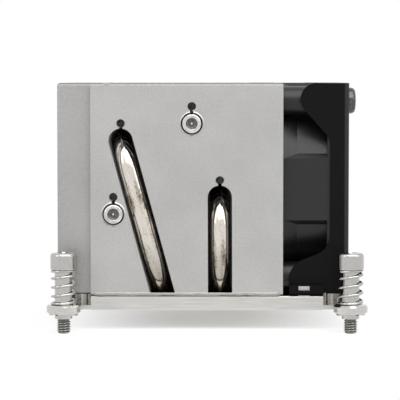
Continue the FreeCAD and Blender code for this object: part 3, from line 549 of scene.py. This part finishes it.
RELIEF_OFFSET = 4.85        # small solder hole above each pipe
SOLDER_RADIUS = 1.16
SOLDER_END = 27.6
SEAM_HEIGHT = 0.95          # bead of solder along the foot of the outer fins
SEAM_PROUD = 0.14
SEAM_INSET = 0.9            # from each end of the fin
SEAM_STEPS = 160
SEAM_TAPER = 3              # steps over which each end thins out
# section of the bead: share of its height, and share of how far it stands proud
SEAM_SECTION = ((0.0, -0.25), (0.0, 0.5), (0.12, 0.95), (0.5, 1.0), (0.88, 0.9), (1.0, 0.4), (1.0, -0.25))

DRIVE_LENGTH = 3.6          # cross recess in the screw heads
DRIVE_WIDTH = 0.9
DRIVE_DEPTH = 1.3
DRIVE_FLOOR = 0.62          # length of its floor as a share of its length at the top
FAN_SCREW_HEAD_RADIUS = 3.7
FAN_SCREW_RADIUS = 2.1
FAN_SCREW_HEAD = 2.05
FAN_SCREW_LENGTH = 9.0

SHARP_ANGLE = 32            # degrees, from which an edge stays sharp


def new_object(name, mesh):
    obj = bpy.data.objects.new(name, mesh)
    bpy.context.scene.collection.objects.link(obj)
    return obj


def centre_of(ring):
    return sum((Vector(p) for p in ring), Vector()) / len(ring)


def add_flow(mesh, rings):
    """Seamless coordinates that run along the piece: around it in x and y, and its length in z, in mm."""
    size = len(rings[0])
    flow = mesh.attributes.new("flow", "FLOAT_VECTOR", "POINT")
    length = 0.0
    last = centre_of(rings[0])
    for i, ring in enumerate(rings):
        here = centre_of(ring)
        length += (here - last).length
        last = here
        for j in range(size):
            a = 2 * math.pi * j / size
            flow.data[i * size + j].vector = (3 * math.cos(a), 3 * math.sin(a), length)


def skin(name, rings):
    """Closed mesh through equal rings of points in millimetres, with a flat cap at each end."""
    size = len(rings[0])
    points = [[v / 1000 for v in p] for ring in rings for p in ring]
    faces = []
    for i in range(len(rings) - 1):
        for j in range(size):
            k = (j + 1) % size
            faces.append((i * size + j, i * size + k, (i + 1) * size + k, (i + 1) * size + j))
    last = (len(rings) - 1) * size
    faces.append(tuple(reversed(range(size))))
    faces.append(tuple(range(last, last + size)))
    mesh = bpy.data.meshes.new(name)
    mesh.from_pydata(points, [], faces)
    work = bmesh.new()
    work.from_mesh(mesh)
    bmesh.ops.recalc_face_normals(work, faces=work.faces)
    work.to_mesh(mesh)
    work.free()
    add_flow(mesh, rings)
    obj = new_object(name, mesh)
    mesh.shade_smooth()
    mesh.set_sharp_from_angle(angle=math.radians(SHARP_ANGLE))
    return obj


def arc(centre_r, centre_z, radius, start, end, steps):
    """Profile points (r, z) along an arc, in degrees."""
    found = []
    for i in range(steps + 1):
        a = math.radians(start + (end - start) * i / steps)
        found.append((centre_r + radius * math.cos(a), centre_z + radius * math.sin(a)))
    return found


def thread_radius(angle, z):
    phase = (z / THREAD_PITCH - angle / (2 * math.pi)) % 1
    flank = 1 - abs(2 * phase - 1)
    depth = THREAD_CREST - THREAD_ROOT
    radius = THREAD_ROOT + depth * min(max(flank * 1.3 - 0.15, 0), 1)
    runout = min(max((THREAD_END - z) / 0.35, 0), 1)
    radius = THREAD_ROOT + (radius - THREAD_ROOT) * runout
    return min(radius, 1.45 + z)


def screw_rings(x, y, columns=56):
    """Rings of a captive screw, from its tip up to its head."""
    rows = []
    steps = 56
    for i in range(steps + 1):
        rows.append((None, 0.001 + (THREAD_END + 0.2) * i / steps))
    low, high = GROOVE
    rows += [(SHANK - 0.15, 4.0), (SHANK, 4.12), (SHANK, 4.95), (SHANK - 0.1, low), (GROOVE_RADIUS, low),
             (GROOVE_RADIUS, high), (SHANK - 0.05, high), (SHANK, 5.7), (SHANK, 5.8), (SHANK, 17.6),
             (SHANK, HEAD_UNDERSIDE), (3.0, HEAD_UNDERSIDE)]
    rows += arc(3.2, 18.15, 0.45, -90, 0, 5)
    rows += [(HEAD_RADIUS, 18.22), (HEAD_RADIUS, 21.48)]
    rows += arc(2.75, 21.55, 0.9, 0, 78, 9)
    rows += [(2.55, HEAD_TOP), (0.05, HEAD_TOP)]
    rings = []
    for radius, z in rows:
        ring = []
        for j in range(columns):
            a = 2 * math.pi * j / columns
            r = thread_radius(a, z) if radius is None else radius
            ring.append((x + r * math.cos(a), y + r * math.sin(a), z))
        rings.append(ring)
    return rings


# this depth drives the painted shade in the threads
def add_roots(mesh, x, y):
    """How deep each point lies in the thread, from 0 on its crest to 1 at its root."""
    root = mesh.attributes.new("root", "FLOAT", "POINT")
    for vertex, value in zip(mesh.vertices, root.data):
        point = vertex.co * 1000
        reach = math.hypot(point.x - x, point.y - y)
        if point.z < THREAD_END + 0.25:
            value.value = min(max((THREAD_CREST - reach) / (THREAD_CREST - THREAD_ROOT), 0), 1)


def spring_height(turn):
    rise = 2 * SPRING_WIRE
    free = SPRING_TURNS - 2 * SPRING_END_TURNS
    pitch = (SPRING_LENGTH - 2 * SPRING_END_TURNS * rise) / free
    low = min(turn, SPRING_END_TURNS) * rise
    middle = min(max(turn - SPRING_END_TURNS, 0), free) * pitch
    return low + middle + max(turn - SPRING_TURNS + SPRING_END_TURNS, 0) * rise


def eased_height(turn):
    """The wire's height with its changes of slope rounded over a quarter turn."""
    count = 9
    spread = 0.12
    return sum(spring_height(turn + spread * (2 * i / (count - 1) - 1)) for i in range(count)) / count


def spring_rings(x, y, steps=40, sides=14):
    rings = []
    count = int(SPRING_TURNS * steps)
    for i in range(count + 1):
        turn = i / steps
        a = math.radians(SPRING_START) + 2 * math.pi * turn
        outward = Vector((math.cos(a), math.sin(a), 0))
        rise = (eased_height(turn + 0.01) - eased_height(turn - 0.01)) / 0.02
        along = Vector((-outward.y, outward.x, rise / (2 * math.pi * SPRING_RADIUS))).normalized()
        across = along.cross(outward)
        centre = outward * SPRING_RADIUS + Vector((x, y, EAR_TOP + eased_height(turn)))
        ring = []
        for j in range(sides):
            b = 2 * math.pi * j / sides
            p = centre + (outward * math.cos(b) + across * math.sin(b)) * (SPRING_WIRE - SPRING_WIRE_INSET)
            p.z = min(max(p.z, EAR_TOP + SPRING_END_INSET), EAR_TOP + SPRING_LENGTH - SPRING_END_INSET)
            ring.append(tuple(p))
        rings.append(ring)
    return rings


def stadium(width, height, count):
    """Points of a flattened circle, spaced evenly by angle on its round ends and along its flats."""
    radius = height / 2
    flat = width / 2 - radius
    found = []
    for i in range(count):
        a = 2 * math.pi * i / count
        c, s = math.cos(a), math.sin(a)
        found.append((flat * max(-1, min(1, c * 1.6)) + radius * c, radius * s))
    return found


def pipe_top(number):
    """Axis of a pipe where it runs through the fins."""
    return Vector((PIPES[number - 1][1], 0, box_of("heat_pipe_%d" % number)[1].z - PIPE_RADIUS))


def pipe_rings(number, sides=48):
    """Sections of one pipe from its closed end, round the two bends, into the base."""
    seat_x, _, side = PIPES[number - 1]
    top = pipe_top(number)
    low = Vector((seat_x, 0, PIPE_SEAT_AXIS))
    down = (low - top).normalized()
    out = Vector((0, side, 0))
    across = out.cross(down)

    def section(centre, up, radius):
        angles = [2 * math.pi * j / sides for j in range(sides)]
        return [tuple(centre + (across * math.cos(a) + up * math.sin(a)) * radius) for a in angles]

    rings = []
    closed = -PIPE_CLOSED_Y
    rim = 0.38
    end = [(0.05, -0.6), (PIPE_DISH_RADIUS, -0.6), (PIPE_DISH_RADIUS + 0.02, -0.04), (1.76, 0.0), (2.0, 0.02)]
    end += arc(PIPE_END_RADIUS - rim, -rim, rim, 90, 0, 6)
    end += [(PIPE_END_RADIUS, -2.4), (PIPE_END_RADIUS + 0.03, -2.6), (PIPE_RADIUS - 0.03, -PIPE_SWAGE),
            (PIPE_RADIUS, -PIPE_SWAGE - 0.2)]
    for radius, reach in end:
        rings.append(section(top + out * (closed - reach), -down, radius))
    rings.append(section(top + out * (closed + 6), -down, PIPE_RADIUS))
    rings.append(section(top, -down, PIPE_RADIUS))
    steps = 20
    turn_top = top + out * (PIPE_RUN_Y - PIPE_BEND_TOP) + down * PIPE_BEND_TOP
    for i in range(steps + 1):
        a = math.pi / 2 * i / steps
        up = -down * math.cos(a) + out * math.sin(a)
        rings.append(section(turn_top + up * PIPE_BEND_TOP, up, PIPE_RADIUS))
    turn_low = low + out * PIPE_BEND_Y - down * PIPE_BEND
    for i in range(steps + 1):
        a = math.pi / 2 * i / steps
        up = out * math.cos(a) + down * math.sin(a)
        rings.append(section(turn_low + up * PIPE_BEND, up, PIPE_RADIUS))
    flat_width = PIPE_FLAT + math.pi * (PIPE_RADIUS - PIPE_FLAT / 2)
    flat = stadium(flat_width, PIPE_FLAT, sides)
    flip = -1 if across.x < 0 else 1
    level = BASE_TOP - PIPE_FLAT / 2
    stages = 8
    for i in range(1, stages + 1):
        t = i / stages
        ease = t * t * (3 - 2 * t)
        y = side * (PIPE_BEND_Y + (PIPE_TRANSITION_Y - PIPE_BEND_Y) * t)
        first = section(low + out * PIPE_BEND_Y, down, PIPE_RADIUS)
        ring = []
        for j in range(sides):
            u, v = flat[j]
            target = Vector((seat_x + flip * u, 0, level - v))
            start = Vector(first[j])
            p = start.lerp(target, ease)
            p.y = y
            ring.append(tuple(p))
        rings.append(ring)
    rings.append([(p[0], -side * PIPE_SEAT_END, p[2]) for p in rings[-1]])
    return rings


def turned(name, profile, place, along):
    """Closed piece turned about an axis, from rows of a radius and how far along the axis it lies."""
    turn = along.to_track_quat("Z", "Y")
    columns = 48
    rings = []
    for radius, reach in profile:
        ring = []
        for j in range(columns):
            a = 2 * math.pi * j / columns
            ring.append(tuple(place + turn @ Vector((radius * math.cos(a), radius * math.sin(a), reach))))
        rings.append(ring)
    return skin(name, rings)


def cut_cross(obj, place, along):
    """Cross recess in a screw's head, with walls that lean in towards its floor."""
    turn = along.to_track_quat("Z", "Y")
    work = bmesh.new()
    for length, width in ((DRIVE_LENGTH, DRIVE_WIDTH), (DRIVE_WIDTH, DRIVE_LENGTH)):
        rows = []
        for reach, lean in ((0.3, 1.0), (-DRIVE_DEPTH, DRIVE_FLOOR)):
            lean_x = lean if length > width else 0.8 + 0.2 * lean
            lean_y = lean if width > length else 0.8 + 0.2 * lean
            row = []
            for u, v in ((-1, -1), (1, -1), (1, 1), (-1, 1)):
                corner = Vector((u * length / 2 * lean_x, v * width / 2 * lean_y, reach))
                row.append(work.verts.new((place + turn @ corner) / 1000))
            rows.append(row)
        work.faces.new(rows[0])
        work.faces.new(list(reversed(rows[1])))
        for i in range(4):
            k = (i + 1) % 4
            work.faces.new((rows[0][i], rows[0][k], rows[1][k], rows[1][i]))
    bmesh.ops.recalc_face_normals(work, faces=work.faces)
    mesh = bpy.data.meshes.new("cutter")
    work.to_mesh(mesh)
    work.free()
    cutter = new_object("cutter", mesh)
    cut = obj.modifiers.new("cross", "BOOLEAN")
    cut.operation = "DIFFERENCE"
    cut.solver = "EXACT"
    cut.use_self = True
    cut.object = cutter
    bpy.context.view_layer.update()
    result = bpy.data.meshes.new_from_object(obj.evaluated_get(bpy.context.evaluated_depsgraph_get()))
    obj.modifiers.clear()
    obj.data = result
    bpy.data.objects.remove(cutter)


def seam_wave(x, phase):
    """Gentle unevenness of the solder, from -1 to 1."""
    return 0.5 * math.sin(0.31 * x + phase) + 0.3 * math.sin(0.83 * x + 2.1 * phase) + 0.2 * math.sin(1.9 * x)


def solder_seam(name, side):
    """Bead of solder along the joint of an outer fin and the bar, with a slightly wavy lower edge."""
    low, high = box_of("fin_01" if side < 0 else "fin_31")
    start, end = low.x + SEAM_INSET, high.x - SEAM_INSET
    rings = []
    for i in range(SEAM_STEPS + 1):
        x = start + (end - start) * i / SEAM_STEPS
        taper = min(1, (i + 0.3) / SEAM_TAPER, (SEAM_STEPS - i + 0.3) / SEAM_TAPER)
        foot = BASE_TOP + 0.02 + 0.1 * (1 + seam_wave(x, side))
        top = BASE_TOP + SEAM_HEIGHT + 0.04 * seam_wave(x, 3 + side)
        ring = []
        for height, proud in SEAM_SECTION:
            reach = OUTER_FIN_FACE + SEAM_PROUD * proud * (taper if proud > 0 else 1)
            ring.append((x, side * reach, foot + (top - foot) * height))
        rings.append(ring)
    return skin(name, rings)


def place_piece(obj, finish, body, slot, *stands_for):
    dress(obj, finish)
    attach(obj, body)
    if stands_for:
        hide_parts(*stands_for)


def build_screws(finishes):
    up = Vector((0, 0, 1))
    for i, (x, y) in enumerate(SCREWS):
        number = i + 1
        node = "mounting_screw_%d" % number
        screw = skin("screw_%d_body" % number, screw_rings(x, y))
        cut_cross(screw, Vector((x, y, box_of(node)[1].z)), up)
        add_roots(screw.data, x, y)
        place_piece(screw, finishes["bright_steel"], "screw_%d" % number, "bright_steel", node)
        spring = skin("spring_%d_coil" % number, spring_rings(x, y))
        place_piece(spring, finishes["bright_steel"], "cooler", "bright_steel", "screw_spring_%d" % number)
        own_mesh(spring)


def build_fan_screws(finishes):
    """Pan heads with a rounded edge; each piece stands for one of the node's four screws."""
    low, high = box_of("fan_screws")
    radius = FAN_SCREW_HEAD_RADIUS
    along = Vector((1, 0, 0))
    seat = high.x - FAN_SCREW_HEAD
    profile = [(0.05, -FAN_SCREW_LENGTH), (FAN_SCREW_RADIUS - 0.4, -FAN_SCREW_LENGTH),
               (FAN_SCREW_RADIUS, -FAN_SCREW_LENGTH + 0.4), (FAN_SCREW_RADIUS, 0.0), (radius - 0.12, 0.0),
               (radius, 0.12), (radius, 0.75)]
    profile += arc(radius - 1.25, 0.75, 1.25, 10, 80, 7)
    profile += [(2.2, FAN_SCREW_HEAD), (0.05, FAN_SCREW_HEAD)]
    number = 0
    for y in (low.y + radius, high.y - radius):
        for z in (low.z + radius, high.z - radius):
            number += 1
            place = Vector((seat, y, z))
            screw = turned("fan_screw_%d" % number, profile, place, along)
            cut_cross(screw, place + along * FAN_SCREW_HEAD, along)
            place_piece(screw, finishes["fan_screw"], "cooler", "black_steel", "fan_screws")


def build_pipes(finishes):
    dish = [(0.05, -0.62), (PIPE_DISH_RADIUS - 0.02, -0.62), (PIPE_DISH_RADIUS - 0.02, -0.12), (1.5, -0.22),
            (1.25, -0.36), (0.9, -0.42), (0.6, -0.4), (0.05, -0.38)]
    tip = [(0.05, -0.5), (0.5, -0.5), (0.46, -0.3), (0.4, -0.1)] + arc(0.0, -0.1, 0.38, 8, 84, 6)
    for number in (1, 2, 3, 4):
        side = PIPES[number - 1][2]
        tube = skin("pipe_%d_tube" % number, pipe_rings(number))
        place_piece(tube, finishes["pipe"], "cooler", "nickel", "heat_pipe_%d" % number)
        away = Vector((0, -side, 0))
        top = pipe_top(number)
        seal = turned("pipe_%d_seal" % number, dish, top + away * PIPE_CLOSED_Y, away)
        place_piece(seal, finishes["seal"], "cooler", "nickel")
        nub = turned("pipe_%d_tip" % number, tip, top + away * PIPE_CLOSED_Y, away)
        place_piece(nub, finishes["bright_steel"], "cooler", "nickel")
        # dark solder rods set back in the relief holes: painted shade in the holes
        shade_fill = [(0.05, -SOLDER_END), (SOLDER_RADIUS, -SOLDER_END), (SOLDER_RADIUS, SOLDER_END),
                (0.8, SOLDER_END - 0.25), (0.05, SOLDER_END - 0.4)]
        rod = turned("solder_%d_fill" % number, shade_fill, top + Vector((0, 0, RELIEF_OFFSET)), Vector((0, 1, 0)))
        place_piece(rod, finishes["solder"], "cooler", "nickel")
    for name, side in (("solder_seam_front", -1), ("solder_seam_back", 1)):
        place_piece(solder_seam(name, side), finishes["solder_seam"], "cooler", "nickel")


def build_pieces(finishes):
    build_screws(finishes)
    build_fan_screws(finishes)
    build_pipes(finishes)


def main():
    scene = bpy.context.scene
    scene.view_settings.view_transform = "Standard"
    build_camera()
    build_world()
    build_floor()
    build_lamps()
    finishes = build_finishes()
    dress_nodes(finishes)
    build_pieces(finishes)


main()
